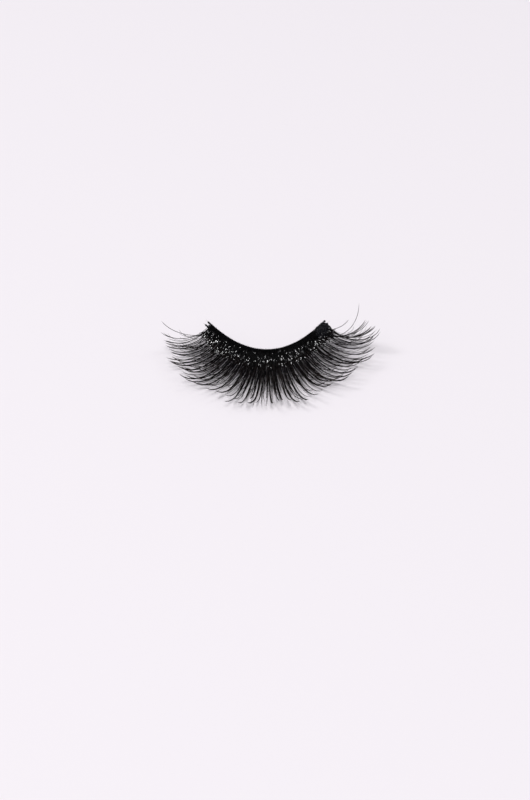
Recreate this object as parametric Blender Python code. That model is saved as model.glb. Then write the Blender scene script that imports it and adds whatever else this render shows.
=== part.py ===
"""False eyelash strip: a curved band with an upper row of long lash locks and a lower row of short ones.

It lies as it does on a table, on the bellies of its lower locks, with the band held level above them.
Metres, +Z up. The lashes point to -Y and curl up, and the concave side of the band, to +Y, is the eye's.
"""

import math

import bmesh
import bpy
import numpy as np

# Lash line: the stretch of the band that carries lashes, a parabola seen from above.
LASH_LINE_CHORD = 0.0226
LASH_LINE_SAG = 0.0081

# Band: a flat strip whose underside is glued to the eyelid, with a bare tab past each end of the lash line.
BAND_WIDTH = 0.0012
BAND_THICKNESS = 0.00045
BAND_EDGE = 0.00012
BAND_PITCH = 33.0
LEFT_TAB = 0.0015
RIGHT_TAB = 0.001
BAND_SEGMENTS = 33

# Air between two pieces that lie against each other.
PIECE_GAP = 0.0002

# Upper row: its knots lie on the band, and its locks leave from their front.
UPPER_LOCKS = 37
UPPER_LENGTH = 0.0150
UPPER_ROOT_DEPTH = 0.0015
UPPER_ROOT_THICKNESS = 0.00042
UPPER_KNOT_RISE = 0.00013
UPPER_PITCH = 31.0

# Lower row: its roots lie in front of the band. Each lock leaves just steeply enough for its belly to
# reach the same depth under the lash line, so that the strip stands level on them.
LOWER_LOCKS = 29
LOWER_LENGTH = 0.0096
LOWER_ROOT_DEPTH = 0.0006
LOWER_ROOT_THICKNESS = 0.0004
LOWER_KNOT_RISE = 0.0
LOWER_BELLY = 0.00335
STEEPEST_PITCH = 75.0
PITCH_HALVINGS = 20

# Locks: each one is an oval spike that thins to its tip.
LOCK_FILL = 0.92
LOCK_TAPER = 0.75
LOCK_TIP_SHARE = 0.10
FIRST_CORNER = 225.0
CURL_DELAY = 1.6
STEPS_BETWEEN_RINGS = 4
UPPER_RINGS = 6
LOWER_RINGS = 5

# How the locks change along the lash line, from its left end (-1) to its right end (+1).
# position, length as a share of the row's longest, then in degrees: lean at the root and sweep from root
# to tip, both to the right, the upper row's extra pitch down at the root, and curl up from root to tip
ALONG_COLUMNS = ("position", "length", "lean", "sweep", "pitch", "curl")
ALONG_THE_LINE = (
    (-1.00, 0.67, -13.0, -12.0, 3.0, 99.0),
    (-0.69, 0.85, -12.5, -12.0, 1.0, 80.0),
    (-0.43, 0.94, -10.0, -10.0, 0.0, 75.0),
    (0.00, 1.00, 0.0, 0.0, 0.0, 63.0),
    (0.43, 0.95, 6.0, 10.0, 0.0, 77.0),
    (0.69, 0.97, 9.5, 12.0, 0.0, 88.0),
    (1.00, 0.88, 16.0, 12.0, 1.0, 120.0),
)

# How one lock differs from its neighbours; the rows are used in turn.
# length as a share, lean (degrees), extra curl (degrees)
LOCK_COLUMNS = ("length", "lean", "curl")
LOCK_PATTERN = (
    (1.00, 0.0, 0.0),
    (0.95, 1.6, 5.0),
    (0.98, -1.2, -2.0),
    (0.92, 0.8, 3.0),
    (0.97, -1.8, 1.0),
)

# Edges that turn by more than this, in degrees, are shaded sharp.
SHARP_EDGE = 50.0

BAND_COLOUR = (0.010, 0.010, 0.012, 1.0)
UPPER_COLOUR = (0.006, 0.006, 0.007, 1.0)
LOWER_COLOUR = (0.012, 0.010, 0.010, 1.0)
BAND_ROUGHNESS = 0.55
LASH_ROUGHNESS = 0.35

UP = np.array([0.0, 0.0, 1.0])


def unit(vector):
    return vector / np.linalg.norm(vector)


def line_shape(x_share):
    """The lash line's point at a share of the half chord, from -1 to 1, at height 0."""
    return np.array(
        [x_share * LASH_LINE_CHORD / 2, -LASH_LINE_SAG * (1 - x_share**2), 0.0]
    )


def even_positions(samples=400):
    """Positions measured along the lash line, from -1 to 1, and the share of the half chord at each."""
    x_shares = np.linspace(-1, 1, samples + 1)
    points = np.array([line_shape(x) for x in x_shares])
    run = np.concatenate([[0], np.cumsum(np.linalg.norm(np.diff(points, axis=0), axis=1))])
    return 2 * run / run[-1] - 1, x_shares


POSITIONS, X_SHARES = even_positions()


def root_frame(position, beyond=0.0):
    """Origin, along, forward and up at a position on the lash line, or straight on past its end."""
    x_share = float(np.interp(position, POSITIONS, X_SHARES))
    along = unit(np.array([LASH_LINE_CHORD / 2, 2 * LASH_LINE_SAG * x_share, 0.0]))
    outward = np.array([along[1], -along[0], 0.0])
    pitch = math.radians(BAND_PITCH)
    forward = outward * math.cos(pitch) - UP * math.sin(pitch)
    up = outward * math.sin(pitch) + UP * math.cos(pitch)
    return line_shape(x_share) + along * beyond, along, forward, up


def place(position, ahead, above, beyond=0.0):
    """A point ahead of the lash line, towards the tips, and above the glue face."""
    origin, _, forward, up = root_frame(position, beyond)
    return origin + forward * ahead + up * above


def along_the_line(position, column):
    rows = np.array(ALONG_THE_LINE)
    return float(np.interp(position, rows[:, 0], rows[:, ALONG_COLUMNS.index(column)]))


def lock_setting(index, column):
    """Every second row of the pattern in turn, so that like locks lie well apart."""
    return LOCK_PATTERN[2 * index % len(LOCK_PATTERN)][LOCK_COLUMNS.index(column)]


def lock_rings(start, position, index, length, down, rings):
    """Centre and direction of each ring of one lock, which leaves its root at an angle down and curls up."""
    _, along, _, _ = root_frame(position)
    lean = along_the_line(position, "lean") + lock_setting(index, "lean")
    sweep = along_the_line(position, "sweep")
    heading = math.atan2(-along[0], along[1]) + math.radians(lean)
    curl = along_the_line(position, "curl") + lock_setting(index, "curl")
    steps = rings * STEPS_BETWEEN_RINGS
    point = start.copy()
    found = []
    for step in range(steps):
        share = (step + 0.5) / steps
        rise = math.radians(curl * share**CURL_DELAY - down)
        turn = heading + math.radians(sweep) * share
        direction = np.array(
            [math.cos(turn) * math.cos(rise), math.sin(turn) * math.cos(rise), math.sin(rise)]
        )
        point = point + direction * length / steps
        if (step + 1) % STEPS_BETWEEN_RINGS == 0:
            found.append((point, direction))
    return found


def down_to_belly(start, position, index, length, rings):
    """The angle down at which one lower lock's lowest point lies at the belly's depth."""
    shallow, steep = 0.0, STEEPEST_PITCH
    for _ in range(PITCH_HALVINGS):
        down = (shallow + steep) / 2
        path = lock_rings(start, position, index, length, down, rings)
        if min(centre[2] for centre, _ in path) > -LOWER_BELLY:
            shallow = down
        else:
            steep = down
    return down


def lock_ring(centre, direction, half_width, half_depth, corners):
    """Points of one oval ring, in the order of the root's corners, which starts low on the left."""
    side = unit(np.cross(UP, direction))
    top = np.cross(direction, side)
    first = math.radians(FIRST_CORNER)
    points = []
    for corner in range(corners):
        angle = first + 2 * math.pi * corner / corners
        points.append(
            centre + side * half_width * math.cos(angle) + top * half_depth * math.sin(angle)
        )
    return points


def bridge(bm, ring, next_ring):
    for i in range(len(ring)):
        j = (i + 1) % len(ring)
        bm.faces.new((ring[i], ring[j], next_ring[j], next_ring[i]))


def add_lock(bm, root, rings, half_width, half_depth):
    """Draws one lock out of the open cell that the root's corners bound."""
    ring = root
    for number, (centre, direction) in enumerate(rings[:-1], start=1):
        left = 1 - number / len(rings)
        size = LOCK_TIP_SHARE + (1 - LOCK_TIP_SHARE) * left**LOCK_TAPER
        points = lock_ring(centre, direction, half_width * size, half_depth * size, len(root))
        next_ring = [bm.verts.new(point) for point in points]
        bridge(bm, ring, next_ring)
        ring = next_ring
    tip = bm.verts.new(rings[-1][0])
    for i in range(len(ring)):
        bm.faces.new((ring[i], ring[(i + 1) % len(ring)], tip))


def new_object(name, bm, colour, roughness):
    bmesh.ops.recalc_face_normals(bm, faces=bm.faces)
    mesh = bpy.data.meshes.new(name)
    bm.to_mesh(mesh)
    bm.free()
    mesh.shade_smooth()
    mesh.set_sharp_from_angle(angle=math.radians(SHARP_EDGE))
    material = bpy.data.materials.new(name)
    material.use_nodes = True
    shader = material.node_tree.nodes["Principled BSDF"]
    shader.inputs["Base Color"].default_value = colour
    shader.inputs["Roughness"].default_value = roughness
    mesh.materials.append(material)
    obj = bpy.data.objects.new(name, mesh)
    bpy.context.scene.collection.objects.link(obj)
    return obj


def build_band():
    """The glue strip, with its upper edges eased, drawn along the lash line and out into both tabs."""
    section = (
        (0.0, 0.0),
        (BAND_WIDTH, 0.0),
        (BAND_WIDTH, BAND_THICKNESS - BAND_EDGE),
        (BAND_WIDTH - BAND_EDGE, BAND_THICKNESS),
        (BAND_EDGE, BAND_THICKNESS),
        (0.0, BAND_THICKNESS - BAND_EDGE),
    )
    stations = [(position, 0.0) for position in np.linspace(-1, 1, BAND_SEGMENTS + 1)]
    stations = [(-1.0, -LEFT_TAB), *stations, (1.0, RIGHT_TAB)]
    bm = bmesh.new()
    rings = [
        [bm.verts.new(place(position, ahead, above, beyond)) for ahead, above in section]
        for position, beyond in stations
    ]
    for ring, next_ring in zip(rings, rings[1:]):
        bridge(bm, ring, next_ring)
    bm.faces.new(rings[0])
    bm.faces.new(rings[-1])
    return new_object("band", bm, BAND_COLOUR, BAND_ROUGHNESS)


def build_row(name, locks, rings, length, stands, back, depth, base, thickness, knot_rise, colour):
    """One row of locks on its root strip. The strip runs from back to back + depth ahead of the lash line."""
    front, crown, middle = back + depth, base + thickness, base + thickness / 2
    bm = bmesh.new()
    columns = []
    for position in np.linspace(-1, 1, 2 * locks + 1):
        between_locks = len(columns) % 2 == 0
        rise = 0.0 if between_locks else knot_rise
        corners = {
            "back_low": (back, base),
            "back_high": (back, crown + rise),
            "front_high": (front, crown + rise),
            "front_low": (front, base),
        }
        if between_locks:
            corners["front_middle"] = (front, middle)
        columns.append(
            {key: bm.verts.new(place(position, *spot)) for key, spot in corners.items()}
        )
    for here, there in zip(columns, columns[1:]):
        for low, high in (
            ("front_low", "back_low"),
            ("back_low", "back_high"),
            ("back_high", "front_high"),
        ):
            bm.faces.new((here[low], here[high], there[high], there[low]))
    for end in (columns[0], columns[-1]):
        order = ("back_low", "back_high", "front_high", "front_middle", "front_low")
        bm.faces.new([end[key] for key in order])
    for index in range(locks):
        left, centre, right = columns[2 * index : 2 * index + 3]
        root = [
            left["front_low"],
            centre["front_low"],
            right["front_low"],
            right["front_middle"],
            right["front_high"],
            centre["front_high"],
            left["front_high"],
            left["front_middle"],
        ]
        position = (2 * index + 1) / locks - 1
        start = place(position, front, middle)
        cell = np.linalg.norm(np.array(right["front_low"].co - left["front_low"].co))
        own_length = length * along_the_line(position, "length") * lock_setting(index, "length")
        if stands:
            down = down_to_belly(start, position, index, own_length, rings)
        else:
            down = UPPER_PITCH + along_the_line(position, "pitch")
        path = lock_rings(start, position, index, own_length, down, rings)
        add_lock(bm, root, path, LOCK_FILL * cell / 2, LOCK_FILL * thickness / 2)
    return new_object(name, bm, colour, LASH_ROUGHNESS)


def stand_on_floor(pieces):
    """Moves the strip, as one, so that it rests on height 0 with its box centred on the origin."""
    corners = np.array([vertex.co for piece in pieces for vertex in piece.data.vertices])
    low, high = corners.min(axis=0), corners.max(axis=0)
    strip = bpy.data.objects.new("eyelash_strip", None)
    bpy.context.scene.collection.objects.link(strip)
    strip.location = (-(low[0] + high[0]) / 2, -(low[1] + high[1]) / 2, -low[2])
    for piece in pieces:
        piece.parent = strip


def main():
    for obj in list(bpy.data.objects):
        bpy.data.objects.remove(obj)
    band = build_band()
    upper = build_row(
        "upper_lashes",
        locks=UPPER_LOCKS,
        rings=UPPER_RINGS,
        length=UPPER_LENGTH,
        stands=False,
        back=0.0,
        depth=UPPER_ROOT_DEPTH,
        base=BAND_THICKNESS + PIECE_GAP,
        thickness=UPPER_ROOT_THICKNESS,
        knot_rise=UPPER_KNOT_RISE,
        colour=UPPER_COLOUR,
    )
    lower = build_row(
        "lower_lashes",
        locks=LOWER_LOCKS,
        rings=LOWER_RINGS,
        length=LOWER_LENGTH,
        stands=True,
        back=BAND_WIDTH + PIECE_GAP,
        depth=LOWER_ROOT_DEPTH,
        base=0.0,
        thickness=LOWER_ROOT_THICKNESS,
        knot_rise=LOWER_KNOT_RISE,
        colour=LOWER_COLOUR,
    )
    stand_on_floor([band, upper, lower])


main()
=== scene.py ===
"""Looks of the false eyelash strip: its fibres, corded band, knots and dried glue, on a pale floor.

Metres, +Z up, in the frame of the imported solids. Angles are in degrees, apart from the few whose names
end in RADIANS.
"""

import math

import bpy
import numpy as np
from mathutils import Matrix, Vector


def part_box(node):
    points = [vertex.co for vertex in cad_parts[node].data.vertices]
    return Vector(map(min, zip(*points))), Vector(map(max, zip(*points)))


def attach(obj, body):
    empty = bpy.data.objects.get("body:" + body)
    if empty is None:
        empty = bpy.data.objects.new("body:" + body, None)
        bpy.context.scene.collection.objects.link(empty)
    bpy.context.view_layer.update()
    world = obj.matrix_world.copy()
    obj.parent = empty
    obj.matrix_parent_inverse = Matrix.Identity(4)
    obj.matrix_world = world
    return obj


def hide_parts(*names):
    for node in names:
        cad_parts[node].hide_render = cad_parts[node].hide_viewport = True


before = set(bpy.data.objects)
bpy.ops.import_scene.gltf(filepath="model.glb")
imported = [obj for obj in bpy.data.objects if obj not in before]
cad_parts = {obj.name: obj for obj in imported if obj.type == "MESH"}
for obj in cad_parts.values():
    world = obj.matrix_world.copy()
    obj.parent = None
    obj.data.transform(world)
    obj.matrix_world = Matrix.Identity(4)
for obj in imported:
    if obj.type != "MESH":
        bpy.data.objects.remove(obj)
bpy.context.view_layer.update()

MM = 0.001
UP = np.array([0.0, 0.0, 1.0])
LEVEL = np.array([1.0, 1.0, 0.0])
NEXT_TO_NOTHING = 1e-9

# Lash line and band, as in the solids.
LASH_LINE_CHORD = 22.6 * MM
LASH_LINE_SAG = 8.1 * MM
BAND_WIDTH = 1.2 * MM
BAND_THICKNESS = 0.45 * MM
BAND_PITCH = 33.0
LEFT_TAB = 1.5 * MM
RIGHT_TAB = 1.0 * MM
BAND_SEGMENTS = 33
PIECE_GAP = 0.2 * MM
LINE_POINTS = 401

# Rows of lash locks, as in the solids.
UPPER_LOCKS = 37
UPPER_LENGTH = 15.0 * MM
UPPER_ROOT_DEPTH = 1.5 * MM
UPPER_PITCH = 31.0
LOWER_LOCKS = 29
LOWER_LENGTH = 9.6 * MM
LOWER_ROOT_DEPTH = 0.6 * MM
LOWER_BELLY = 3.35 * MM
ROOT_THICKNESS = 0.42 * MM
STEEPEST_PITCH = 75.0
PITCH_HALVINGS = 20
CURL_DELAY = 1.6

# How the locks change from the left end of the lash line (-1) to the right end (+1), as in the solids.
ALONG_COLUMNS = ("position", "length", "lean", "sweep", "pitch", "curl")
ALONG_THE_LINE = np.array([
    (-1.00, 0.67, -13.0, -12.0, 3.0, 99.0),
    (-0.69, 0.85, -12.5, -12.0, 1.0, 80.0),
    (-0.43, 0.94, -10.0, -10.0, 0.0, 75.0),
    (0.00, 1.00, 0.0, 0.0, 0.0, 63.0),
    (0.43, 0.95, 6.0, 10.0, 0.0, 77.0),
    (0.69, 0.97, 9.5, 12.0, 0.0, 88.0),
    (1.00, 0.88, 16.0, 12.0, 1.0, 120.0),
])

# How one lock differs from its neighbours, as in the solids.
LOCK_COLUMNS = ("length", "lean", "curl")
LOCK_PATTERN = np.array([
    (1.00, 0.0, 0.0),
    (0.95, 1.6, 5.0),
    (0.98, -1.2, -2.0),
    (0.92, 0.8, 3.0),
    (0.97, -1.8, 1.0),
])
PATTERN_STEP = 2

# How full the rows are, how much longer the upper fibres are than their solid locks, and how far their
# tips hook up and aside, from the left end to the right end.
ENDS_COLUMNS = ("position", "fullness", "growth", "hook", "hook_aside")
ENDS_ALONG = np.array([
    (-1.0, 0.24, 1.00, -32.0, -6.0),
    (-0.7, 0.38, 1.02, -18.0, -22.0),
    (-0.4, 0.80, 1.08, 6.0, -42.0),
    (0.0, 1.00, 1.08, 14.0, 0.0),
    (0.4, 0.66, 1.08, 10.0, 36.0),
    (0.7, 0.30, 1.05, -8.0, 22.0),
    (1.0, 0.30, 1.03, -14.0, 0.0),
])

# Bundles that each lock splits into: where each starts across the lock, how it turns and curls away from
# the lock, its length and its number of fibres where the row is full.
BUNDLE_COLUMNS = ("across", "lean", "curl", "length", "fibres")
UPPER_BUNDLES = np.array([
    (0.00, 0.0, 0.0, 1.00, 17),
    (-0.32, -2.6, 9.0, 0.96, 5),
    (0.32, 3.0, -7.0, 0.92, 4),
    (0.10, -6.5, 14.0, 0.80, 3),
])
LOWER_BUNDLES = np.array([
    (0.00, 0.0, 0.0, 1.00, 6),
    (-0.28, -5.0, 6.0, 0.75, 4),
    (0.30, 5.5, -4.0, 0.62, 4),
])

# Hairs that have come away from the locks at the two ends of the strip, alone or in thin bundles. Their
# lengths are shares of STRAY_LENGTH.
STRAY_LENGTH = 10.0 * MM
STRAY_COLUMNS = ("position", "length", "lean", "sweep", "down", "curl", "hairs")
STRAY_HAIRS = np.array([
    (-0.85, 1.20, -35.0, -10.0, 5.0, 65.0, 1),
    (-0.95, 1.10, -15.0, -10.0, 15.0, 70.0, 2),
    (0.75, 1.35, 35.0, 80.0, 15.0, 105.0, 1),
    (0.90, 0.60, 30.0, 20.0, -5.0, 55.0, 1),
    (0.80, 1.20, 30.0, 35.0, 15.0, 75.0, 4),
    (0.85, 1.25, 20.0, 20.0, 15.0, 75.0, 5),
])

# Start of each piece's own random numbers.
SEEDS = {
    "upper_fibres": 11,
    "lower_fibres": 12,
    "fill_hairs": 13,
    "under_hairs": 14,
    "stray_hairs": 15,
    "band_skin": 21,
    "glue_patch": 22,
    "glue_drops": 23,
    "band_fuzz": 24,
}

# Tone of a piece that is a single tube.
MIDDLE_TONE = np.array([0.5])

# Thickness of one fibre: it holds until THICK_UNTIL, then falls to TIP_SHARE and ends in POINT_SHARE.
FIBRE_RADIUS = 0.058 * MM
FINE_RADIUS = 0.036 * MM
RADIUS_SPANS = {
    "upper_fibres": (0.8, 1.2),
    "lower_fibres": (0.8, 1.25),
    "fill_hairs": (0.75, 1.1),
    "under_hairs": (0.9, 1.4),
}
THICK_UNTIL = 0.86
TIP_SHARE = 0.48
POINT_SHARE = 0.12
FIBRE_SIDES = 4

# Least height of any point above the floor.
FLOOR_CLEARANCE = 0.01 * MM

# Course of one fibre: the steps of a path, the rings of a tube, and how late the tip's hook sets in.
PATH_STEPS = 24
UPPER_RINGS = 14
LOWER_RINGS = 12
HOOK_DELAY = 4.0

# How the bundles of a full row differ at random, and how thin rows hold them closer and smaller.
LEAN_JITTER = 1.2
JITTER_FADE = 2
TURN_JITTER_RATIO = 3
LEAST_PARTED = 0.4
HOOK_SPREAD = 0.5
HOOK_ASIDE_SPREAD = 9.0
MAIN_THINNING = 0.8
SIDE_THINNING = 1.6

# How the fibres lie in their bundle: side by side at the root, gathered in the middle, forked at the tip.
ROOT_SPREAD = 0.6
ROOT_UNEVENNESS = 0.06
ROOT_SPAN = (0.02, 0.6)
UPPER_ROOT_RISE = 0.15 * MM
GATHERED_AT = 0.30
POINTEDNESS = 0.4
BUNDLE_RADIUS = 0.16 * MM
FULL_BUNDLE = 12
FORK_WIDTH = 0.11 * MM
FORK_FROM = 0.72
BUNDLE_WAVE = 0.09 * MM
WAVE_SPAN = (0.2, 0.9)
WAVE_RADIANS = 6
WINDING_RADIANS = 1.8
SHORT_FIBRES = (0.35, 0.75)
LONG_FIBRES = (0.93, 1.0)
LONG_FIBRE_SHARE = 0.62

# Finer hairs between the upper locks. The loose ones among them lean further.
FILL_HAIRS = 230
LOOSE_FILL_HAIRS = 90
FILL_RINGS = 17
FILL_LEAN = 4.5
LOOSE_LEAN = 10.0
FILL_SWEEP_RATIO = 1.5
FILL_CURL = 6.0
FILL_DOWN = 3.0
FILL_REACH = (0.45, 0.98)
FILL_ROOT_HEIGHT = (-0.2, 1.0)
FILL_ROOT_SPAN = (0.1, 0.6)

# Short dense hairs between the two rows.
UNDER_HAIRS = 1500
UNDER_RINGS = 8
UNDER_END = 0.99
UNDER_SHIFT = 0.004
UNDER_LEAN = 3.5
UNDER_CURL_SHARE = 0.5
UNDER_DOWN = (-1.0, 12.0)
UNDER_REACH = (0.12, 0.265)
UNDER_LEAST_REACH = 0.45
UNDER_ROOT_HEIGHT = (-0.4, 0.5)
UNDER_ROOT_SPAN = (0.1, 0.5)
UNDER_TONES = (0.0, 0.95)

# How the hairs of one stray bundle differ.
STRAY_RINGS = 20
STRAY_LEAN = 0.9
STRAY_SHORTENING = (-0.04, 0.10)
STRAY_SHIFT = 0.006
STRAY_ROOT = 0.3

# Band: two cords of two twisted plies, a skin of dried glue between them and a thread whipped round both.
CORD_RADIUS = BAND_THICKNESS / 2
PLY_RADIUS = 0.52 * CORD_RADIUS
PLY_ORBIT = CORD_RADIUS - PLY_RADIUS
PLY_PITCH = 0.85 * MM
PLY_SIDES = 10
STEPS_PER_TURN = 12
CORD_END_SPLAY = 0.05 * MM
WHIPS_PER_LOCK = 2
WHIP_RADIUS = 0.045 * MM
WHIP_STEPS = 18
WHIP_SIDES = 6
SKIN_THICKNESS = 0.22 * MM
SKIN_HALF_WIDTH = 0.42 * BAND_WIDTH
SKIN_ENDS = (-0.55 * LEFT_TAB, 0.5 * RIGHT_TAB)
SKIN_RINGS = 260
SKIN_SIDES = 20
SKIN_UNEVENNESS = 0.06
SKIN_ROUNDNESS = 8
LAST_RING = 0.998

# Patch of dried glue over the roots at the right end, with ridges across it and a wavy front edge.
PATCH_LENGTH = 4.2 * MM
PATCH_BEYOND = 0.45 * MM
PATCH_DEPTH = 3.3 * MM
PATCH_HEIGHT = 0.46 * MM
PATCH_BASE = BAND_THICKNESS + PIECE_GAP + 0.1 * MM
PATCH_RINGS = 110
PATCH_SIDES = 40
PATCH_UNEVENNESS = 0.030
PATCH_ROUNDNESS = 4
RIDGE_SPACING = 0.42 * MM
RIDGE_HEIGHT = 0.07 * MM
RIDGE_BEND_RADIANS = 1.5
EDGE_WAVE = 0.10 * PATCH_DEPTH
EDGE_WAVE_SPACING = 2.4 * RIDGE_SPACING

# Rows of small drops of glue on the roots: how far ahead of the lash line each row lies, as a share of
# DROP_REACH, its drops for each upper lock, their radius as a share of DROP_RADIUS, and the row's ends.
DROP_REACH = 4.0 * MM
DROP_RADIUS = 0.1 * MM
DROP_COLUMNS = ("ahead", "per_lock", "radius", "first", "last")
DROP_ROWS = (
    (0.325, 0.6, 0.95, -0.96, 0.74),
    (0.525, 2.6, 1.05, -0.98, 0.98),
    (0.725, 3.4, 1.10, -0.96, 0.97),
    (1.000, 3.0, 1.10, -0.84, 0.92),
)
DROP_SCATTER = 0.28 * MM
DROP_SIZES = (0.65, 1.35)
DROP_STRETCH = (1.4, 3.0)
DROP_FLATNESS = 0.22
DROP_SINK = 0.01 * MM
DROP_UNEVENNESS = 0.11
DROP_TILT = 17.0
DROP_RINGS = 7
DROP_SIDES = 10
POLE_RADIANS = 0.05
LEAST_PAST_ROOT = 0.01 * MM
PATCH_DROP_RISE = 0.14 * MM

# Loose fibre ends on the back edge of the band and at the cut ends of its cords.
FUZZ_HAIRS = 90
FRAYED_HAIRS = 30
FRAYED_ON_LEFT = 0.7
FUZZ_START = -0.6 * LEFT_TAB
FUZZ_RADIUS = 0.009 * MM
FUZZ_LENGTH = 0.38 * MM
FUZZ_LENGTHS = (0.35, 1.3)
FUZZ_RINGS = 6
FUZZ_ROOT = 0.08 * MM
FUZZ_HEIGHTS = (-0.6, 0.9)
FUZZ_ALONG = 0.9
FUZZ_BEND = 0.7
FUZZ_RISE = 0.1
FUZZ_RISE_SPREAD = 0.35
FRAY_ROOT = 0.05 * MM
FRAY_SPOTS = (0.05, 0.95)
FRAY_FORWARD = 0.35

# Fibre material: tones from the darkest hair to the lightest, the brown of the tips, and its gloss. Tones
# above SHEEN_PAINTED_FROM are the lighter hairs': a painted sheen, colour that stands in for strands catching
# the light.
# The brown of the tips is painted light, standing in for light shining through the thin tips. A hair is at
# its darkest up to ROOT_BLACK's first share of its length and has its own tone, with any painted sheen, from
# the second share on.
SHEEN_PAINTED_FROM = 0.84
DARKEST_HAIR = (0.0024, 0.0022, 0.0027)
COMMON_HAIR = (0.0070, 0.0056, 0.0058)
SHEEN_PAINTED_HAIR = (0.0700, 0.0590, 0.0590)
# Painted light: the brown of the tips stands in for light shining through the thin fibre, not a colour of its
# own.
PAINTED_SHINE_THROUGH_TIP = (0.020, 0.0125, 0.0110)
SHINE_THROUGH_FROM = 0.6
SHINE_THROUGH_MOST = 0.7
ROOT_BLACK = (0.18, 0.45)
FIBRE_SPECULAR = 0.04
FIBRE_ROUGHNESS = (0.20, 0.48)
FIBRE_GRAIN = 2500.0
FIBRE_GRAIN_DETAIL = 3.0

# Materials with a fine grain. Their roughness varies by ROUGHNESS_SPREAD to both sides.
GRAINY_COLUMNS = ("colour", "roughness", "specular", "grain", "depth")
GRAINY_MATERIALS = {
    "black_thread": ((0.0024, 0.0023, 0.0030), 0.65, 0.05, 9000.0, 0.02 * MM),
    "dried_glue": ((0.0040, 0.0040, 0.0052), 0.45, 0.20, 2600.0, 0.08 * MM),
    "lumpy_glue": ((0.0022, 0.0022, 0.0042), 0.26, 0.12, 1900.0, 0.22 * MM),
    "clear_glue": ((0.0040, 0.0040, 0.0050), 0.12, 1.00, 9000.0, 0.007 * MM),
}
ROUGHNESS_SPREAD = 0.3
GRAIN_DETAIL = 4.0
CLEAR_GLUE_IOR = 1.9

# Floor, room light and softboxes: a key light from the upper left, one overhead for the glints on the
# glue and a weak one from the right.
FLOOR_HALF_SIZE = 1.5
FLOOR_COLOUR = (0.865, 0.825, 0.865)
FLOOR_ROUGHNESS = 0.7
ROOM_COLOUR = (0.93, 0.92, 0.96)
ROOM_STRENGTH = 0.25
SOFTBOX_COLUMNS = ("name", "location", "size", "power")
SOFTBOXES = (
    ("key", (-1.26, 0.30, 1.26), 0.60, 14.0),
    ("overhead", (0.06, -0.48, 1.50), 0.60, 12.0),
    ("right", (1.20, 0.42, 1.12), 0.40, 4.0),
)

# Camera: in front of the strip and above it, with the right end a little high, and the photograph's framing.
CAMERA_ELEVATION = 42.0
CAMERA_ROLL = 1.3
CAMERA_LENS = 100.0
SENSOR_HEIGHT = 36.0
PHOTO_WIDTH = 530
PHOTO_HEIGHT = 800
PIXEL_SIZE = 0.207 * MM
LASH_LINE_MIDDLE_PIXEL = (267.8, 349.4)


def unit(vectors):
    return vectors / np.linalg.norm(vectors, axis=-1, keepdims=True)


def smooth_step(low, high, value):
    share = np.clip((value - low) / (high - low), 0.0, 1.0)
    return share * share * (3 - 2 * share)


def column_at(table, columns, column, position):
    """A column of a table at positions on the lash line, in between its rows."""
    return np.interp(position, table[:, 0], table[:, columns.index(column)])


def along_the_line(position, column):
    return column_at(ALONG_THE_LINE, ALONG_COLUMNS, column, position)


def ends_along(position, column):
    return column_at(ENDS_ALONG, ENDS_COLUMNS, column, position)


def lock_setting(index, column):
    """A column of the pattern for each lock; from one lock to the next it moves on by PATTERN_STEP rows."""
    return LOCK_PATTERN[PATTERN_STEP * index % len(LOCK_PATTERN), LOCK_COLUMNS.index(column)]


def line_shape(x_share):
    """Points of the lash line at shares of the half chord, from -1 to 1, at height 0."""
    x_share = np.asarray(x_share, float)
    return np.stack(
        [
            x_share * LASH_LINE_CHORD / 2,
            -LASH_LINE_SAG * (1 - x_share**2),
            np.zeros_like(x_share),
        ],
        axis=-1,
    )


X_SHARES = np.linspace(-1, 1, LINE_POINTS)
RUN = np.concatenate(
    [[0], np.cumsum(np.linalg.norm(np.diff(line_shape(X_SHARES), axis=0), axis=1))]
)
POSITIONS = 2 * RUN / RUN[-1] - 1
LASH_LINE_LENGTH = RUN[-1]


def root_frames(position):
    """Along, forward and up at positions on the lash line."""
    x_share = np.interp(position, POSITIONS, X_SHARES)
    slope = 2 * LASH_LINE_SAG * x_share
    along = unit(np.stack([np.full_like(slope, LASH_LINE_CHORD / 2), slope, 0 * slope], axis=-1))
    outward = np.stack([along[..., 1], -along[..., 0], 0 * slope], axis=-1)
    pitch = math.radians(BAND_PITCH)
    forward = outward * math.cos(pitch) - UP * math.sin(pitch)
    up = outward * math.sin(pitch) + UP * math.cos(pitch)
    return along, forward, up


def local_place(position, ahead, above, beyond=0.0):
    """Points ahead of the lash line and above the glue face, before the strip is set on the floor."""
    position, ahead, above, beyond = np.broadcast_arrays(position, ahead, above, beyond)
    along, forward, up = root_frames(position)
    origin = line_shape(np.interp(position, POSITIONS, X_SHARES))
    return (
        origin
        + along * beyond[..., None]
        + forward * ahead[..., None]
        + up * above[..., None]
    )


def strip_place():
    """Where the frame has the strip: the shift that brings the band's own box onto the band node's."""
    position = np.array([-1.0, *np.linspace(-1, 1, BAND_SEGMENTS + 1), 1.0])
    beyond = np.array([-LEFT_TAB, *np.zeros(BAND_SEGMENTS + 1), RIGHT_TAB])
    points = [local_place(position, ahead, 0.0, beyond) for ahead in (0.0, BAND_WIDTH)]
    node_low, node_high = (np.array(corner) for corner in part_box("band"))
    low = np.concatenate(points).min(axis=0)
    high = np.concatenate(points).max(axis=0)
    shift = node_low - low
    shift[1] = node_high[1] - high[1]
    return shift


STRIP_PLACE = strip_place()


def place(position, ahead, above, beyond=0.0):
    """Points ahead of the lash line, above the glue face and past its ends, as the frame has the strip."""
    return local_place(position, ahead, above, beyond) + STRIP_PLACE


def band_points(run, ahead, above):
    """Points by the run along the lash line from its left end; past either end the band goes straight on."""
    inside = np.clip(run, 0, LASH_LINE_LENGTH)
    return place(2 * inside / LASH_LINE_LENGTH - 1, ahead, above, run - inside)


def heading_of(position, lean):
    """The direction seen from above, in degrees from +X, of a lash that leans from square to the band."""
    along = root_frames(position)[0]
    return np.degrees(np.arctan2(-along[..., 0], along[..., 1])) + lean


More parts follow.
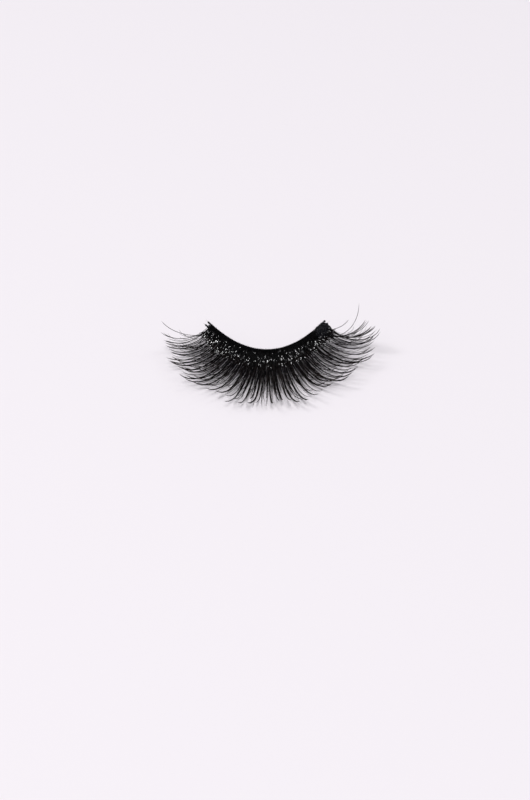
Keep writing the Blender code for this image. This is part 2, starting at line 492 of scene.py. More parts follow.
def curl_paths(start, heading, down, sweep, curl, length, steps=PATH_STEPS, hook=0.0, hook_aside=0.0):
    """Paths of many lashes at once, which leave their roots at an angle down, curl up and end in a hook."""
    share = (np.arange(steps) + 0.5) / steps
    hooked = share**HOOK_DELAY
    up = np.broadcast_to(hook, len(start))[:, None] * hooked
    aside = np.broadcast_to(hook_aside, len(start))[:, None] * hooked
    rise = np.radians(curl[:, None] * share**CURL_DELAY + up - down[:, None])
    turn = np.radians(heading[:, None] + sweep[:, None] * share + aside)
    direction = np.stack(
        [np.cos(turn) * np.cos(rise), np.sin(turn) * np.cos(rise), np.sin(rise)], axis=-1
    )
    travel = np.cumsum(direction * (length / steps)[:, None, None], axis=1)
    return np.concatenate([start[:, None], start[:, None] + travel], axis=1)


def down_to_belly(start, heading, sweep, curl, length):
    """The angle down at which each lower lock's lowest point lies at the belly's depth."""
    shallow = np.zeros(len(start))
    steep = np.full(len(start), STEEPEST_PITCH)
    floor = STRIP_PLACE[2] - LOWER_BELLY
    for _ in range(PITCH_HALVINGS):
        down = (shallow + steep) / 2
        lowest = curl_paths(start, heading, down, sweep, curl, length)[..., 2].min(axis=1)
        shallow = np.where(lowest > floor, down, shallow)
        steep = np.where(lowest > floor, steep, down)
    return down


def sides_and_tops(paths):
    """For each point of each path, the level vector across it and the one over it."""
    direction = unit(np.gradient(paths, axis=1))
    side = unit(np.cross(UP, direction))
    return side, np.cross(direction, side)


def sample(paths, share):
    """Points of the paths at shares of their lengths; share has a row for each path."""
    steps = paths.shape[1] - 1
    spot = np.clip(share, 0.0, 1.0) * steps
    low = np.minimum(spot.astype(int), steps - 1)
    part = (spot - low)[..., None]
    rows = np.arange(len(paths))[:, None]
    return paths[rows, low] * (1 - part) + paths[rows, low + 1] * part


def tube_rings(paths, radii, sides):
    """Corner points of the rings round each point of each path."""
    direction = unit(np.gradient(paths, axis=1))
    flat = direction[:, :1] * LEVEL + NEXT_TO_NOTHING
    across = unit(np.cross(UP, flat))
    side = unit(across - (across * direction).sum(axis=-1, keepdims=True) * direction)
    top = np.cross(direction, side)
    angle = 2 * np.pi * np.arange(sides) / sides
    return paths[:, :, None] + radii[:, :, None, None] * (
        side[:, :, None] * np.cos(angle)[:, None] + top[:, :, None] * np.sin(angle)[:, None]
    )


def tube_faces(count, rings, sides):
    """Quads between the rings of many tubes, and a polygon at each tube's two ends."""
    tube = np.arange(count)[:, None, None] * rings * sides
    ring = np.arange(rings - 1)[None, :, None] * sides
    corner = np.arange(sides)[None, None, :]
    after = (corner + 1) % sides
    low = tube + ring
    high = low + sides
    quads = np.stack([low + corner, low + after, high + after, high + corner], axis=-1).reshape(-1, 4)
    ends = np.arange(count)[:, None] * rings * sides
    first = ends + np.arange(sides)[::-1]
    last = ends + (rings - 1) * sides + np.arange(sides)
    return quads, np.concatenate([first, last])


def mesh_from_rings(name, points, tones):
    """One object of many closed tubes, from their rings' corners (tubes, rings, sides, 3).

    Its mesh carries each corner's share of the way along its tube as "reach", and one "tone" per tube.
    """
    count, rings, sides = points.shape[:3]
    points[..., 2] = np.maximum(points[..., 2], FLOOR_CLEARANCE)
    quads, ends = tube_faces(count, rings, sides)
    mesh = bpy.data.meshes.new(name)
    loops = np.concatenate([quads.ravel(), ends.ravel()]).astype(np.int32)
    sizes = np.concatenate([np.full(len(quads), 4), np.full(len(ends), sides)])
    mesh.vertices.add(count * rings * sides)
    mesh.vertices.foreach_set("co", points.reshape(-1).astype(np.float32))
    mesh.loops.add(len(loops))
    mesh.loops.foreach_set("vertex_index", loops)
    mesh.polygons.add(len(sizes))
    mesh.polygons.foreach_set(
        "loop_start", np.concatenate([[0], np.cumsum(sizes)[:-1]]).astype(np.int32)
    )
    mesh.update(calc_edges=True)
    reach = np.linspace(0, 1, rings)[None, :, None]
    for key, values in (("reach", reach), ("tone", tones[:, None, None])):
        attribute = mesh.attributes.new(key, "FLOAT", "POINT")
        values = np.broadcast_to(values, (count, rings, sides))
        attribute.data.foreach_set("value", values.reshape(-1).astype(np.float32))
    mesh.shade_smooth()
    obj = bpy.data.objects.new(name, mesh)
    bpy.context.scene.collection.objects.link(obj)
    return obj


def mesh_from_tubes(name, paths, radii, sides, tones):
    return mesh_from_rings(name, tube_rings(paths, radii, sides), tones)


def mesh_from_hairs(name, paths, root_radii, tones):
    """One object of many hairs, which keep their thickness for most of their length and end in points."""
    share = np.linspace(0, 1, paths.shape[1])
    thin = TIP_SHARE + (1 - TIP_SHARE) * (1 - smooth_step(THICK_UNTIL, 1.0, share))
    thin[-1] = POINT_SHARE
    return mesh_from_tubes(name, paths, thin * root_radii[:, None], FIBRE_SIDES, tones)


def bundle_paths(locks, bundles, row_length, ahead, middle, stands, rng):
    """For each bundle of one row, where it starts, its number of fibres and its centre line.

    The centre lines follow the locks' own in the solids. The bundles of a row that stands reach down to
    the belly's depth, and most of the other row's are longer than their locks and have hooked tips.
    """
    index = np.repeat(np.arange(locks), len(bundles))
    bundle = {key: np.tile(bundles[:, i], locks) for i, key in enumerate(BUNDLE_COLUMNS)}
    beside = bundle["length"] < 1
    position = (2 * index + 1) / locks - 1
    fullness = ends_along(position, "fullness")
    jitter = rng.normal(0, LEAN_JITTER, (3, len(index))) * beside * fullness**JITTER_FADE
    parted = LEAST_PARTED + (1 - LEAST_PARTED) * fullness
    lean = along_the_line(position, "lean") + lock_setting(index, "lean")
    lean = lean + bundle["lean"] * parted + jitter[0]
    curl = along_the_line(position, "curl") + lock_setting(index, "curl")
    curl = curl + bundle["curl"] * parted + TURN_JITTER_RATIO * jitter[1]
    sweep = along_the_line(position, "sweep") + TURN_JITTER_RATIO * jitter[2]
    length = row_length * along_the_line(position, "length") * lock_setting(index, "length")
    length = length * bundle["length"]
    heading = heading_of(position, lean)
    start_position = position + bundle["across"] * 2 / locks
    start = place(start_position, ahead, middle)
    if stands:
        down = down_to_belly(start, heading, sweep, curl, length)
        hook = 0.0
        hook_aside = 0.0
    else:
        down = UPPER_PITCH + along_the_line(position, "pitch")
        length = ends_along(position, "growth") * length
        strength = 1 + rng.uniform(-HOOK_SPREAD, HOOK_SPREAD, len(index)) * fullness
        hook = ends_along(position, "hook") * strength
        hook_aside = ends_along(position, "hook_aside") * strength
        hook_aside = hook_aside + rng.normal(0, HOOK_ASIDE_SPREAD, len(index)) * fullness
    thinned = np.where(beside, fullness**SIDE_THINNING, fullness**MAIN_THINNING)
    fibres = np.round(bundle["fibres"] * thinned).astype(int)
    paths = curl_paths(start, heading, down, sweep, curl, length, hook=hook, hook_aside=hook_aside)
    return start_position, fibres, paths


def row_fibres(bundles, rings, cell, back, depth, base, rng):
    """Paths of a row's fibres: they start side by side on the band and each bundle's gather into its tip."""
    position, fibres, centres = bundles
    owner = np.repeat(np.arange(len(fibres)), fibres)
    count = len(owner)
    rank = np.arange(count) - np.repeat(np.cumsum(fibres) - fibres, fibres)
    across = (rank + 0.5) / fibres[owner] - 0.5 + rng.normal(0, ROOT_UNEVENNESS, count)
    height = rng.uniform(-0.5, 0.5, count)
    long_ones = rng.uniform(0, 1, count) < LONG_FIBRE_SHARE
    short_reach = rng.uniform(*SHORT_FIBRES, count)
    reach = np.where(long_ones, rng.uniform(*LONG_FIBRES, count), short_reach)
    share = np.linspace(0, 1, rings)[None, :] * reach[:, None]
    side, top = sides_and_tops(centres)
    apart = 1 - smooth_step(0.0, GATHERED_AT, share)
    width = (1 - share) ** POINTEDNESS
    fork = FORK_WIDTH * smooth_step(FORK_FROM, 1.0, share) * rng.choice([-1.0, 0.0, 1.0], count)[:, None]
    wave_start = rng.uniform(0, 2 * np.pi, len(fibres))[owner][:, None]
    wave = BUNDLE_WAVE * smooth_step(*WAVE_SPAN, share) * np.sin(wave_start + WAVE_RADIANS * share)
    first_angle = rng.uniform(0, 2 * np.pi, count)[:, None]
    angle = first_angle + share * rng.uniform(-WINDING_RADIANS, WINDING_RADIANS, count)[:, None]
    radius = BUNDLE_RADIUS * np.sqrt(fibres[owner] / FULL_BUNDLE)
    off_centre = (radius * np.sqrt(rng.uniform(0, 1, count)))[:, None] * width
    spread = across[:, None] * cell * apart + off_centre * np.cos(angle) + fork + wave
    rise = height[:, None] * ROOT_THICKNESS * apart + off_centre * np.sin(angle)
    points = (
        sample(centres[owner], share)
        + sample(side[owner], share) * spread[..., None]
        + sample(top[owner], share) * rise[..., None]
    )
    start_position = position[owner] + 2 * across * cell / LASH_LINE_LENGTH
    start_ahead = back + depth * rng.uniform(*ROOT_SPAN, count)
    start_above = base + ROOT_THICKNESS * (0.5 + height)
    roots = place(start_position, start_ahead, start_above)
    halfway = (roots + points[:, 0]) / 2
    return np.concatenate([roots[:, None], halfway[:, None], points], axis=1)


def build_upper_fibres():
    name = "upper_fibres"
    rng = np.random.default_rng(SEEDS[name])
    middle = BAND_THICKNESS + PIECE_GAP + ROOT_THICKNESS / 2
    bundles = bundle_paths(
        UPPER_LOCKS, UPPER_BUNDLES, UPPER_LENGTH, UPPER_ROOT_DEPTH, middle, False, rng
    )
    cell = ROOT_SPREAD * LASH_LINE_LENGTH / UPPER_LOCKS
    base = BAND_THICKNESS + UPPER_ROOT_RISE
    paths = row_fibres(bundles, UPPER_RINGS, cell, UPPER_ROOT_RISE, UPPER_ROOT_DEPTH, base, rng)
    count = len(paths)
    radii = FIBRE_RADIUS * rng.uniform(*RADIUS_SPANS[name], count)
    return mesh_from_hairs(name, paths, radii, rng.uniform(0, 1, count))


def build_lower_fibres():
    name = "lower_fibres"
    rng = np.random.default_rng(SEEDS[name])
    ahead = BAND_WIDTH + PIECE_GAP + LOWER_ROOT_DEPTH
    middle = ROOT_THICKNESS / 2
    bundles = bundle_paths(LOWER_LOCKS, LOWER_BUNDLES, LOWER_LENGTH, ahead, middle, True, rng)
    cell = ROOT_SPREAD * LASH_LINE_LENGTH / LOWER_LOCKS
    paths = row_fibres(bundles, LOWER_RINGS, cell, BAND_WIDTH, LOWER_ROOT_DEPTH, 0.0, rng)
    count = len(paths)
    radii = FINE_RADIUS * rng.uniform(*RADIUS_SPANS[name], count)
    return mesh_from_hairs(name, paths, radii, rng.uniform(0, 1, count))


def build_fill_hairs():
    """Finer hairs between the locks, which cross each other a little."""
    name = "fill_hairs"
    rng = np.random.default_rng(SEEDS[name])
    count = FILL_HAIRS + LOOSE_FILL_HAIRS
    loose = np.arange(count) >= FILL_HAIRS
    fullness = ends_along(POSITIONS, "fullness")
    position = np.interp(rng.uniform(0, 1, count), np.cumsum(fullness) / fullness.sum(), POSITIONS)
    spread = np.where(loose, LOOSE_LEAN, FILL_LEAN)
    lean = along_the_line(position, "lean") + rng.normal(0, 1, count) * spread
    sweep = along_the_line(position, "sweep") + rng.normal(0, 1, count) * spread * FILL_SWEEP_RATIO
    curl = along_the_line(position, "curl") + rng.normal(0, FILL_CURL, count)
    down = UPPER_PITCH + along_the_line(position, "pitch") + rng.normal(0, FILL_DOWN, count)
    length = UPPER_LENGTH * along_the_line(position, "length") * rng.uniform(*FILL_REACH, count)
    above = BAND_THICKNESS + PIECE_GAP + ROOT_THICKNESS * rng.uniform(*FILL_ROOT_HEIGHT, count)
    root = place(position, UPPER_ROOT_DEPTH * rng.uniform(*FILL_ROOT_SPAN, count), above)
    start = place(position, UPPER_ROOT_DEPTH, above)
    paths = curl_paths(start, heading_of(position, lean), down, sweep, curl, length, FILL_RINGS)
    paths = np.concatenate([root[:, None], paths], axis=1)
    radii = FINE_RADIUS * rng.uniform(*RADIUS_SPANS[name], count)
    return mesh_from_hairs(name, paths, radii, rng.uniform(0, 1, count))


def build_under_hairs():
    """The short dense hairs between the two rows, which make the roots a solid black."""
    name = "under_hairs"
    rng = np.random.default_rng(SEEDS[name])
    count = UNDER_HAIRS
    position = np.linspace(-UNDER_END, UNDER_END, count) + rng.normal(0, UNDER_SHIFT, count)
    position = np.clip(position, -1, 1)
    fullness = ends_along(position, "fullness")
    lean = along_the_line(position, "lean") + rng.normal(0, UNDER_LEAN, count)
    sweep = along_the_line(position, "sweep")
    curl = UNDER_CURL_SHARE * along_the_line(position, "curl")
    down = UPPER_PITCH + rng.uniform(*UNDER_DOWN, count)
    shortened = UNDER_LEAST_REACH + (1 - UNDER_LEAST_REACH) * fullness
    length = rng.uniform(*UNDER_REACH, count) * shortened * UPPER_LENGTH
    above = BAND_THICKNESS + PIECE_GAP + ROOT_THICKNESS * rng.uniform(*UNDER_ROOT_HEIGHT, count)
    root = place(position, UPPER_ROOT_DEPTH * rng.uniform(*UNDER_ROOT_SPAN, count), above)
    start = place(position, UPPER_ROOT_DEPTH, above)
    paths = curl_paths(start, heading_of(position, lean), down, sweep, curl, length, UNDER_RINGS)
    paths = np.concatenate([root[:, None], paths], axis=1)
    radii = FINE_RADIUS * rng.uniform(*RADIUS_SPANS[name], count)
    return mesh_from_hairs(name, paths, radii, rng.uniform(*UNDER_TONES, count))


def build_stray_hairs():
    """The few long hairs that stand away from the ends of the strip, alone or in thin bundles."""
    name = "stray_hairs"
    rng = np.random.default_rng(SEEDS[name])
    hairs = STRAY_HAIRS[:, STRAY_COLUMNS.index("hairs")].astype(int)
    stray = {key: np.repeat(STRAY_HAIRS[:, i], hairs) for i, key in enumerate(STRAY_COLUMNS)}
    count = hairs.sum()
    bundled = np.repeat(hairs > 1, hairs)
    lean = stray["lean"] + rng.normal(0, STRAY_LEAN, count) * bundled
    length = STRAY_LENGTH * stray["length"] * (1 - rng.uniform(*STRAY_SHORTENING, count) * bundled)
    position = stray["position"] + rng.normal(0, STRAY_SHIFT, count) * bundled
    above = BAND_THICKNESS + PIECE_GAP + ROOT_THICKNESS / 2
    root = place(position, STRAY_ROOT * UPPER_ROOT_DEPTH, above)
    start = place(position, UPPER_ROOT_DEPTH, above)
    heading = heading_of(stray["position"], lean)
    paths = curl_paths(start, heading, stray["down"], stray["sweep"], stray["curl"], length, STRAY_RINGS)
    paths = np.concatenate([root[:, None], paths], axis=1)
    return mesh_from_hairs(name, paths, np.full(count, FIBRE_RADIUS), rng.uniform(0, 1, count))


def build_cords():
    """Two cords along the band's edges, each of two plies wound round each other."""
    first = -LEFT_TAB
    last = LASH_LINE_LENGTH + RIGHT_TAB
    run = np.linspace(first, last, int((last - first) / PLY_PITCH * STEPS_PER_TURN))
    past_end = np.maximum(-run, run - LASH_LINE_LENGTH).clip(0) / LEFT_TAB
    paths = []
    for centre, splay in ((CORD_RADIUS, 0.0), (BAND_WIDTH - CORD_RADIUS, CORD_END_SPLAY)):
        for phase in (0.0, math.pi):
            angle = 2 * np.pi * run / PLY_PITCH + phase
            ahead = centre + splay * past_end**2 + PLY_ORBIT * np.cos(angle)
            above = CORD_RADIUS + PLY_ORBIT * np.sin(angle)
            paths.append(band_points(run, ahead, above))
    paths = np.stack(paths)
    radii = np.full(paths.shape[:2], PLY_RADIUS)
    return mesh_from_tubes("band_cords", paths, radii, PLY_SIDES, np.linspace(0, 1, len(paths)))


def build_whipping():
    """One thread wound round both cords."""
    turns = WHIPS_PER_LOCK * UPPER_LOCKS
    turn = np.linspace(0, turns, turns * WHIP_STEPS)
    angle = 2 * np.pi * turn
    run = LASH_LINE_LENGTH * turn / turns
    ahead = BAND_WIDTH / 2 * (1 + np.cos(angle))
    above = CORD_RADIUS * (1 + np.sin(angle)) + WHIP_RADIUS * np.sin(angle)
    path = band_points(run, ahead, above)[None]
    radii = np.full(path.shape[:2], WHIP_RADIUS)
    return mesh_from_tubes("band_whipping", path, radii, WHIP_SIDES, MIDDLE_TONE)


def glue_section(run, centre, half_width, height, unevenness, roundness, sides, rng):
    """Rings of a flat body of dried glue on the band, uneven and rounded off at its two ends."""
    angle = 2 * np.pi * np.arange(sides) / sides
    along = (run - run.mean()) / (np.ptp(run) / 2)
    end = np.sqrt(1 - (LAST_RING * along) ** roundness)[:, None]
    noise = rng.normal(0, 1, (len(run), sides))
    noise = (noise + np.roll(noise, 1, axis=0) + np.roll(noise, 1, axis=1) + np.roll(noise, -1, axis=0)) / 2
    uneven = 1 + unevenness * noise
    ahead = centre[0] + half_width * end * np.cos(angle) * uneven
    above = centre[1] + height * end * np.sin(angle) * uneven
    return run[:, None], ahead, above


def build_skin():
    """The skin of glue that joins the two cords."""
    name = "band_skin"
    rng = np.random.default_rng(SEEDS[name])
    run = np.linspace(SKIN_ENDS[0], LASH_LINE_LENGTH + SKIN_ENDS[1], SKIN_RINGS)
    centre = (BAND_WIDTH / 2, CORD_RADIUS)
    height = SKIN_THICKNESS / 2
    section = glue_section(
        run, centre, SKIN_HALF_WIDTH, height, SKIN_UNEVENNESS, SKIN_ROUNDNESS, SKIN_SIDES, rng
    )
    return mesh_from_rings(name, band_points(*section)[None], MIDDLE_TONE)


def build_patch():
    """The thick matte glue over the roots at the right end."""
    name = "glue_patch"
    rng = np.random.default_rng(SEEDS[name])
    last = LASH_LINE_LENGTH + PATCH_BEYOND
    run = np.linspace(last - PATCH_LENGTH, last, PATCH_RINGS)
    centre = (PATCH_DEPTH / 2, PATCH_BASE)
    run, ahead, above = glue_section(
        run, centre, PATCH_DEPTH / 2, PATCH_HEIGHT, PATCH_UNEVENNESS, PATCH_ROUNDNESS, PATCH_SIDES, rng
    )
    wavy = 2 * np.pi * run / RIDGE_SPACING + RIDGE_BEND_RADIANS * np.sin(2 * np.pi * ahead / PATCH_DEPTH)
    ridges = RIDGE_HEIGHT * np.sin(wavy) * (above > centre[1])
    edge = EDGE_WAVE * np.sin(2 * np.pi * run / EDGE_WAVE_SPACING) * (ahead > centre[0])
    return mesh_from_rings(name, band_points(run, ahead + edge, above + ridges)[None], MIDDLE_TONE)


def drop_places(rng):
    """Position, distance ahead of the lash line and radius of each drop, row by row."""
    positions = []
    distances = []
    sizes = []
    for values in DROP_ROWS:
        row = dict(zip(DROP_COLUMNS, values))
        count = int(row["per_lock"] * UPPER_LOCKS * (row["last"] - row["first"]) / 2)
        positions.append(np.sort(rng.uniform(row["first"], row["last"], count)))
        distances.append(DROP_REACH * row["ahead"] + rng.normal(0, DROP_SCATTER, count))
        sizes.append(DROP_RADIUS * row["radius"] * rng.uniform(*DROP_SIZES, count))
    return np.concatenate(positions), np.concatenate(distances), np.concatenate(sizes)


def build_drops():
    """Small flat drops of glue on the roots of the upper lashes and on the patch, tilted a little."""
    name = "glue_drops"
    rng = np.random.default_rng(SEEDS[name])
    position, ahead, size = drop_places(rng)
    count = len(size)
    heading = heading_of(position, along_the_line(position, "lean"))
    down = UPPER_PITCH + along_the_line(position, "pitch")
    curl = along_the_line(position, "curl")
    length = UPPER_LENGTH * along_the_line(position, "length")
    above = BAND_THICKNESS + PIECE_GAP + ROOT_THICKNESS
    root = place(position, np.minimum(ahead, UPPER_ROOT_DEPTH), above)
    paths = curl_paths(root, heading, down, np.zeros(count), curl, length)
    past = (np.maximum(ahead - UPPER_ROOT_DEPTH, LEAST_PAST_ROOT) / length)[:, None]
    side, top = (sample(vectors, past)[:, 0] for vectors in sides_and_tops(paths))
    patch_start = 1 - 2 * (PATCH_LENGTH - PATCH_BEYOND) / LASH_LINE_LENGTH
    on_patch = (position > patch_start) & (ahead < PATCH_DEPTH)
    centre = sample(paths, past)[:, 0] + (PATCH_DROP_RISE * on_patch - DROP_SINK)[:, None] * top
    forward = np.cross(side, top)
    tilt = np.radians(rng.normal(0, DROP_TILT, (2, count)))[..., None]
    normal = unit(top + np.tan(tilt[0]) * side + np.tan(tilt[1]) * forward)
    side = unit(side - (side * normal).sum(axis=-1, keepdims=True) * normal)
    forward = np.cross(side, normal)
    polar = np.linspace(POLE_RADIANS, np.pi - POLE_RADIANS, DROP_RINGS)[:, None, None]
    around = (2 * np.pi * np.arange(DROP_SIDES) / DROP_SIDES)[None, :, None]
    stretch = rng.uniform(*DROP_STRETCH, count)[:, None, None, None]
    uneven = 1 + DROP_UNEVENNESS * rng.normal(0, 1, (count, DROP_RINGS, DROP_SIDES))[..., None]
    side, forward, normal = (vectors[:, None, None] for vectors in (side, forward, normal))
    points = centre[:, None, None] + size[:, None, None, None] * uneven * (
        np.sin(polar) * np.cos(around) * side
        + np.sin(polar) * np.sin(around) * stretch * forward
        - DROP_FLATNESS * np.cos(polar) * normal
    )
    return mesh_from_rings(name, points, rng.uniform(0, 1, count))


def build_fuzz():
    """Short loose fibre ends on the band's back edge and at the cut ends of the cords."""
    name = "band_fuzz"
    rng = np.random.default_rng(SEEDS[name])
    count = FUZZ_HAIRS + FRAYED_HAIRS
    frayed = np.arange(count) >= FUZZ_HAIRS
    left = rng.uniform(0, 1, count) < FRAYED_ON_LEFT
    cut = np.where(left, FRAY_ROOT - LEFT_TAB, LASH_LINE_LENGTH + RIGHT_TAB - FRAY_ROOT)
    run = np.where(frayed, cut, rng.uniform(FUZZ_START, LASH_LINE_LENGTH, count))
    spot = rng.uniform(*FRAY_SPOTS, count)
    height = rng.uniform(*FUZZ_HEIGHTS, count)
    cord = np.where(spot < 0.5, CORD_RADIUS, BAND_WIDTH - CORD_RADIUS)
    off_centre = PLY_ORBIT * (4 * (spot % 0.5) - 1)
    twist = 2 * np.pi * cut / PLY_PITCH
    edge = FUZZ_ROOT + CORD_RADIUS * (1 - np.sqrt(1 - height**2))
    ahead = np.where(frayed, cord + off_centre * np.cos(twist), edge)
    above = CORD_RADIUS + np.where(frayed, off_centre * np.sin(twist), CORD_RADIUS * height)
    root = band_points(run, ahead, above)
    along, forward, up = root_frames(np.clip(2 * run / LASH_LINE_LENGTH - 1, -1, 1))
    outward = np.where(frayed[:, None], np.where(left, -1, 1)[:, None] * along, -forward)
    direction = unit(
        outward
        + along * rng.normal(0, FUZZ_ALONG, count)[:, None] * ~frayed[:, None]
        + forward * rng.normal(0, FRAY_FORWARD, count)[:, None] * frayed[:, None]
        + up * rng.normal(FUZZ_RISE, FUZZ_RISE_SPREAD, count)[:, None]
    )
    bend = up * rng.normal(0, FUZZ_BEND, count)[:, None] + along * rng.normal(0, FUZZ_BEND, count)[:, None]
    share = np.linspace(0, 1, FUZZ_RINGS)[None, :, None]
    length = FUZZ_LENGTH * rng.uniform(*FUZZ_LENGTHS, count)[:, None, None]
    paths = root[:, None] + length * (share * direction[:, None] + share**2 * bend[:, None])
    return mesh_from_hairs(name, paths, np.full(count, FUZZ_RADIUS), rng.uniform(0, 1, count))


def node_material(name):
    material = bpy.data.materials.new(name)
    material.use_nodes = True
    return material, material.node_tree.nodes, material.node_tree.links


def attribute_node(nodes, name):
    node = nodes.new("ShaderNodeAttribute")
    node.attribute_name = name
    return node.outputs["Fac"]


def map_range(nodes, links, value, **limits):
    """A linear map of a value; the limits are From_Min, From_Max, To_Min and To_Max, or else 0 and 1."""
    node = nodes.new("ShaderNodeMapRange")
    for key, limit in limits.items():
        node.inputs[key.replace("_", " ")].default_value = limit
    links.new(value, node.inputs["Value"])
    return node.outputs["Result"]


def grain_noise(nodes, links, scale, detail):
    """A fine noise that is fixed to the object."""
    noise = nodes.new("ShaderNodeTexNoise")
    noise.inputs["Scale"].default_value = scale
    noise.inputs["Detail"].default_value = detail
    coordinates = nodes.new("ShaderNodeTexCoord")
    links.new(coordinates.outputs["Object"], noise.inputs["Vector"])
    return noise.outputs["Fac"]


def fibre_material():
    """Black synthetic fibre: past their roots a few hairs are lighter, a painted sheen, and the thin tips are
    a dark brown, painted light shining through them.
    """
    material, nodes, links = node_material("lash_fibre")
    shader = nodes["Principled BSDF"]
    shader.inputs["Specular IOR Level"].default_value = FIBRE_SPECULAR
    reach = attribute_node(nodes, "reach")
    shown_tone = nodes.new("ShaderNodeMath")
    shown_tone.operation = "MULTIPLY"
    links.new(attribute_node(nodes, "tone"), shown_tone.inputs[0])
    past_root = map_range(nodes, links, reach, From_Min=ROOT_BLACK[0], From_Max=ROOT_BLACK[1])
    links.new(past_root, shown_tone.inputs[1])
    # Random dark tones per hair; above SHEEN_PAINTED_FROM the ramp rises to a painted sheen for the few
    # lighter hairs.
    hair_tone_and_sheen = nodes.new("ShaderNodeValToRGB")
    hair_tone_and_sheen.color_ramp.elements[0].color = (*DARKEST_HAIR, 1)
    hair_tone_and_sheen.color_ramp.elements[1].color = (*SHEEN_PAINTED_HAIR, 1)
    hair_tone_and_sheen.color_ramp.elements.new(SHEEN_PAINTED_FROM).color = (*COMMON_HAIR, 1)
    links.new(shown_tone.outputs["Value"], hair_tone_and_sheen.inputs["Fac"])
    mix = nodes.new("ShaderNodeMix")
    mix.data_type = "RGBA"
    mix.inputs["B"].default_value = (*PAINTED_SHINE_THROUGH_TIP, 1)
    # Painted light: the tips are mixed towards brown for light shining through them.
    shine_through_share = map_range(nodes, links, reach, From_Min=SHINE_THROUGH_FROM, To_Max=SHINE_THROUGH_MOST)
    links.new(shine_through_share, mix.inputs["Factor"])
    links.new(hair_tone_and_sheen.outputs["Color"], mix.inputs["A"])
    links.new(mix.outputs["Result"], shader.inputs["Base Color"])
    noise = grain_noise(nodes, links, FIBRE_GRAIN, FIBRE_GRAIN_DETAIL)
    roughness = map_range(nodes, links, noise, To_Min=FIBRE_ROUGHNESS[0], To_Max=FIBRE_ROUGHNESS[1])
    links.new(roughness, shader.inputs["Roughness"])
    return material


def grainy_material(name):
    """A black material whose roughness and surface vary with a fine noise."""
    look = dict(zip(GRAINY_COLUMNS, GRAINY_MATERIALS[name]))
    material, nodes, links = node_material(name)
    shader = nodes["Principled BSDF"]
    shader.inputs["Base Color"].default_value = (*look["colour"], 1)
    shader.inputs["Specular IOR Level"].default_value = look["specular"]
    noise = grain_noise(nodes, links, look["grain"], GRAIN_DETAIL)
    smoothest = (1 - ROUGHNESS_SPREAD) * look["roughness"]
    roughest = min((1 + ROUGHNESS_SPREAD) * look["roughness"], 1.0)
    roughness = map_range(nodes, links, noise, To_Min=smoothest, To_Max=roughest)
    links.new(roughness, shader.inputs["Roughness"])
    bump = nodes.new("ShaderNodeBump")
    bump.inputs["Distance"].default_value = look["depth"]
    bump.inputs["Strength"].default_value = 1.0
    links.new(noise, bump.inputs["Height"])
    links.new(bump.outputs["Normal"], shader.inputs["Normal"])
    return material


def add_stage():
    """A pale floor, a soft room light and the softboxes."""
    mesh = bpy.data.meshes.new("floor")
    half = FLOOR_HALF_SIZE
    corners = [(-half, -half, 0), (half, -half, 0), (half, half, 0), (-half, half, 0)]
    mesh.from_pydata(corners, [], [(0, 1, 2, 3)])
    floor = bpy.data.objects.new("floor", mesh)
    bpy.context.scene.collection.objects.link(floor)
    material, nodes = node_material("floor")[:2]
    shader = nodes["Principled BSDF"]
    shader.inputs["Base Color"].default_value = (*FLOOR_COLOUR, 1)
    shader.inputs["Roughness"].default_value = FLOOR_ROUGHNESS
    mesh.materials.append(material)
    world = bpy.data.worlds.new("studio")
    world.use_nodes = True
    background = world.node_tree.nodes["Background"]
    background.inputs["Color"].default_value = (*ROOM_COLOUR, 1)
    background.inputs["Strength"].default_value = ROOM_STRENGTH
    bpy.context.scene.world = world
    for values in SOFTBOXES:
        add_softbox(**dict(zip(SOFTBOX_COLUMNS, values)))


def add_softbox(name, location, size, power):
    """A round soft light that faces the strip."""
    data = bpy.data.lights.new(name, "AREA")
    data.shape = "DISK"
    data.size = size
    data.energy = power
    lamp = bpy.data.objects.new(name, data)
    bpy.context.scene.collection.objects.link(lamp)
    lamp.location = location
    lamp.rotation_mode = "QUATERNION"
    lamp.rotation_quaternion = (-Vector(location)).to_track_quat("-Z", "Y")


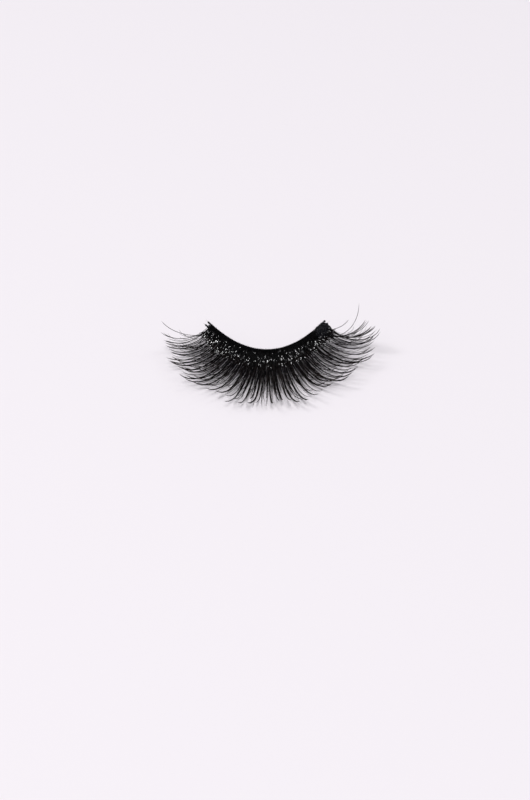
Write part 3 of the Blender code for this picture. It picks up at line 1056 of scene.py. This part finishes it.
def add_camera():
    """The camera, which has the middle of the lash line at its pixel of the photograph."""
    data = bpy.data.cameras.new("camera")
    data.lens = CAMERA_LENS
    data.sensor_width = SENSOR_HEIGHT
    camera = bpy.data.objects.new("camera", data)
    bpy.context.scene.collection.objects.link(camera)
    elevation = math.radians(CAMERA_ELEVATION)
    roll = math.radians(CAMERA_ROLL)
    level = Vector((1.0, 0.0, 0.0))
    rising = Vector((0.0, math.sin(elevation), math.cos(elevation)))
    back = Vector((0.0, -math.cos(elevation), math.sin(elevation)))
    right = level * math.cos(roll) - rising * math.sin(roll)
    upright = level * math.sin(roll) + rising * math.cos(roll)
    distance = PHOTO_HEIGHT * PIXEL_SIZE * CAMERA_LENS / SENSOR_HEIGHT
    middle = Vector(place(0.0, 0.0, 0.0))
    offset_right = (LASH_LINE_MIDDLE_PIXEL[0] - PHOTO_WIDTH / 2) * PIXEL_SIZE
    offset_up = (PHOTO_HEIGHT / 2 - LASH_LINE_MIDDLE_PIXEL[1]) * PIXEL_SIZE
    target = middle - right * offset_right - upright * offset_up
    axes = Matrix((right, upright, back)).transposed().to_4x4()
    camera.matrix_world = Matrix.Translation(target + back * distance) @ axes
    bpy.context.scene.camera = camera


def dress(piece, material, slot, *replaced):
    """Gives a piece its material and makes it ride with the strip. The slot argument is not used."""
    piece.data.materials.append(material)
    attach(piece, "root")
    if replaced:
        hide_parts(*replaced)


def main():
    bpy.context.scene.view_settings.view_transform = "Standard"
    fibre = fibre_material()
    thread = grainy_material("black_thread")
    dried_glue = grainy_material("dried_glue")
    lumpy_glue = grainy_material("lumpy_glue")
    clear_glue = grainy_material("clear_glue")
    clear_glue.node_tree.nodes["Principled BSDF"].inputs["IOR"].default_value = CLEAR_GLUE_IOR
    dress(build_upper_fibres(), fibre, "lash_fibre", "upper_lashes")
    dress(build_lower_fibres(), fibre, "lash_fibre", "lower_lashes")
    dress(build_fill_hairs(), fibre, "lash_fibre")
    dress(build_under_hairs(), fibre, "lash_fibre")
    dress(build_stray_hairs(), fibre, "lash_fibre")
    dress(build_cords(), thread, "band", "band")
    dress(build_whipping(), thread, "band")
    dress(build_skin(), dried_glue, "band")
    dress(build_patch(), lumpy_glue, "band")
    dress(build_fuzz(), thread, "band")
    dress(build_drops(), clear_glue, "lash_fibre")
    add_stage()
    add_camera()


main()
